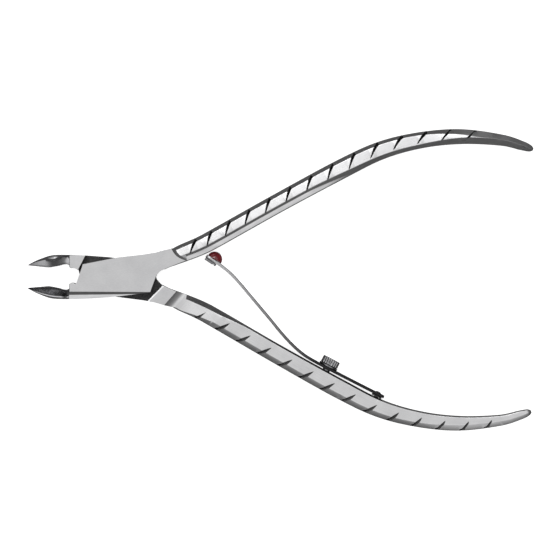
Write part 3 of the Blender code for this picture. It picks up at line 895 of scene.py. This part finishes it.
def make_tension_screw():
    spot = leaf_spot(KNOB_X)
    low, high = FIT_GAP, FIT_GAP + WASHER_HEIGHT
    rim = WASHER_RADIUS - WASHER_ROUNDING
    ring = (
        (KNOB_BORE, high), (rim, high), (WASHER_RADIUS, high - WASHER_ROUNDING),
        (WASHER_RADIUS, low + WASHER_ROUNDING), (rim, low), (KNOB_BORE, low),
    )
    washer = turned("washer", ring, closed=True)
    piece("knob_washer_ring", smooth(washer), "washer", "knob_washer", (DARK,), spot)

    bottom = high + FIT_GAP
    top = bottom + KNOB_HEIGHT
    around = KNOB_RIBS * STEPS_PER_RIB
    # Height, how far the edge is rounded in, and share of the ribs' depth
    levels = (
        (bottom, 0.10, 0.0), (bottom + 0.10, 0.0, 0.5), (bottom + 0.25, 0.0, 1.0),
        (bottom + 0.8, 0.0, 1.0), (top - 0.25, 0.0, 1.0), (top - 0.10, 0.02, 0.6), (top, 0.14, 0.0),
    )
    rings = []
    for height, inset, share in levels:
        row = []
        for i in range(around):
            angle = 2 * math.pi * i / around
            wave = (1 - math.cos(angle * KNOB_RIBS)) / 2
            radius = KNOB_RADIUS - inset - RIB_DEPTH * share * wave**1.5 - 0.02 * (1 - share)
            row.append((radius * math.cos(angle), radius * math.sin(angle), height))
        rings.append(row)
    bore = turned("knob_bore", ((KNOB_BORE, top + 1), (KNOB_BORE, bottom - 1)), 48)
    mesh = combined(loft("knob", rings), ((bore, "DIFFERENCE", 0),), (KNURLED,))
    piece("tension_knob_nut", smooth(mesh), "knob", "tension_knob", (), spot)

    deep = -LEAF_THICKNESS - STUD_DEPTH
    profile = ((STUD_RADIUS, deep), (STUD_RADIUS, top - 0.12), (STUD_RADIUS - 0.12, top))
    slot = block("stud_slot", (3, 0.3, 0.5), (0, 0, top))
    mesh = combined(turned("stud", profile, 48), ((slot, "DIFFERENCE", 0),), (DARK,))
    piece("tension_stud_pin", smooth(mesh), "rear", "tension_stud", (), spot)


def make_foot():
    spot = leaf_spot(FOOT_X)
    low = -LEAF_THICKNESS - FIT_GAP
    height = FOOT_PAD[2]
    pad = block("pad", FOOT_PAD, (0, 0, low - height / 2), 0.06)
    bore = turned("foot_bore", ((FOOT_BORE, 1), (FOOT_BORE, low - 1)), 32)
    # The foot pad is drawn in near-black painted shade
    mesh = combined(pad, ((bore, "DIFFERENCE", 0),), (SHADE_STEEL,))
    piece("spring_foot_pad", smooth(mesh), "rear", "spring_foot", (), spot)
    deep = low - height - FOOT_RIVET_DEPTH
    rim = FIT_GAP + 0.04
    profile = [
        (FOOT_RIVET, deep), (FOOT_RIVET, FIT_GAP), (FOOT_HEAD - 0.04, FIT_GAP), (FOOT_HEAD, rim)
    ]
    for i in range(1, 6):
        angle = math.pi / 2 * i / 6
        profile.append((FOOT_HEAD * math.cos(angle), rim + 0.2 * math.sin(angle)))
    mesh = turned("rivet", profile, 40)
    piece("foot_rivet_dome", smooth(mesh), "rear", "foot_rivet", (DARK,), spot)


make_levers()
make_pivot_screw()
make_leaf()
make_bead()
make_tension_screw()
make_foot()


# ---------------------------------------------------------------- floor, light and camera


# Brightness of the light tent by the sine of the elevation, below the horizon, and as the
# camera sees it past the floor
TENT = (
    (0.0, 0.08), (0.20, 0.08), (0.45, 0.09), (0.60, 0.22), (0.74, 0.70), (0.86, 0.90),
    (0.94, 0.76), (1.0, 0.58),
)
FLOOR_LIGHT = 0.10
BACKDROP = 0.72
FLOOR_SIZE = (0.9, 0.9, 0.01)
FLOOR_GAP = 0.0002

# Camera over the joint, metres: a long lens looking straight down, like the photo's
CAMERA_LENS = 200
CAMERA_HEIGHT = 0.7404
CAMERA_SHIFT = -0.00035
CAMERA_ROLL = math.radians(0.43)


def make_floor():
    mesh = block("floor", FLOOR_SIZE, (0, 0, -FLOOR_SIZE[2] / 2 - FLOOR_GAP), 0.002)
    floor = bpy.data.objects.new("studio_floor", mesh)
    bpy.context.scene.collection.objects.link(floor)
    material, tree, shader = new_material("pale_floor", (0.92, 0.92, 0.92), 0.9, 0.0)
    grain = noise(tree, coordinates(tree, (40, 40, 40)), 1.0)
    colour = blended(tree, grain, (0.93, 0.93, 0.93), (0.91, 0.91, 0.91))
    tree.links.new(colour, shader.inputs["Base Color"])
    shader.inputs["Emission Color"].default_value = (1, 1, 1, 1)
    shader.inputs["Emission Strength"].default_value = 0.8
    mesh.materials.append(material)
    floor.visible_glossy = False


def make_world():
    """A tent of light: bright overhead, brightest in a ring round it, dim at the horizon.

    Below the horizon it gives back a little of the pale floor's light.
    """
    world = bpy.data.worlds.new("studio")
    bpy.context.scene.world = world
    world.use_nodes = True
    tree = world.node_tree
    background = tree.nodes["Background"]
    source = tree.nodes.new("ShaderNodeTexCoord")
    parts = tree.nodes.new("ShaderNodeSeparateXYZ")
    tree.links.new(source.outputs["Generated"], parts.inputs["Vector"])
    ramp = tree.nodes.new("ShaderNodeValToRGB")
    tree.links.new(parts.outputs["Z"], ramp.inputs["Fac"])
    below = tree.nodes.new("ShaderNodeMapRange")
    below.inputs["From Min"].default_value = -0.02
    below.inputs["From Max"].default_value = -0.20
    tree.links.new(parts.outputs["Z"], below.inputs["Value"])
    tent = tree.nodes.new("ShaderNodeMix")
    tent.data_type = "RGBA"
    tent.inputs["B"].default_value = (FLOOR_LIGHT, FLOOR_LIGHT, FLOOR_LIGHT, 1)
    tree.links.new(below.outputs["Result"], tent.inputs["Factor"])
    tree.links.new(ramp.outputs["Color"], tent.inputs["A"])
    elements = ramp.color_ramp.elements
    elements[0].position = TENT[0][0]
    elements[1].position = TENT[-1][0]
    for stop in TENT[1:-1]:
        elements.new(stop[0])
    for element, stop in zip(elements, TENT):
        element.color = (stop[1], stop[1], stop[1], 1)
    path = tree.nodes.new("ShaderNodeLightPath")
    seen = tree.nodes.new("ShaderNodeMix")
    seen.data_type = "RGBA"
    seen.inputs["B"].default_value = (BACKDROP, BACKDROP, BACKDROP, 1)
    tree.links.new(path.outputs["Is Camera Ray"], seen.inputs["Factor"])
    tree.links.new(tent.outputs["Result"], seen.inputs["A"])
    tree.links.new(seen.outputs["Result"], background.inputs["Color"])
    background.inputs["Strength"].default_value = 1.2


def make_softbox(name, place, size, watts):
    light = bpy.data.lights.new(name, "AREA")
    light.shape = "RECTANGLE"
    light.size, light.size_y = size
    light.energy = watts
    obj = bpy.data.objects.new(name, light)
    obj.location = place
    obj.rotation_euler = (-Vector(place)).to_track_quat("-Z", "Y").to_euler()
    bpy.context.scene.collection.objects.link(obj)


def make_camera():
    camera = bpy.data.cameras.new("camera")
    camera.lens = CAMERA_LENS
    camera.sensor_width = 36
    camera.clip_start = 0.01
    obj = bpy.data.objects.new("camera", camera)
    obj.location = (0, CAMERA_SHIFT, PIVOT.z + CAMERA_HEIGHT)
    obj.rotation_euler = (0, 0, CAMERA_ROLL)
    bpy.context.scene.collection.objects.link(obj)
    bpy.context.scene.camera = obj


make_floor()
make_world()
make_softbox("softbox", (-0.10, 0.42, 0.80), (0.5, 0.3), 1.6)
make_camera()
bpy.context.scene.view_settings.view_transform = "Standard"
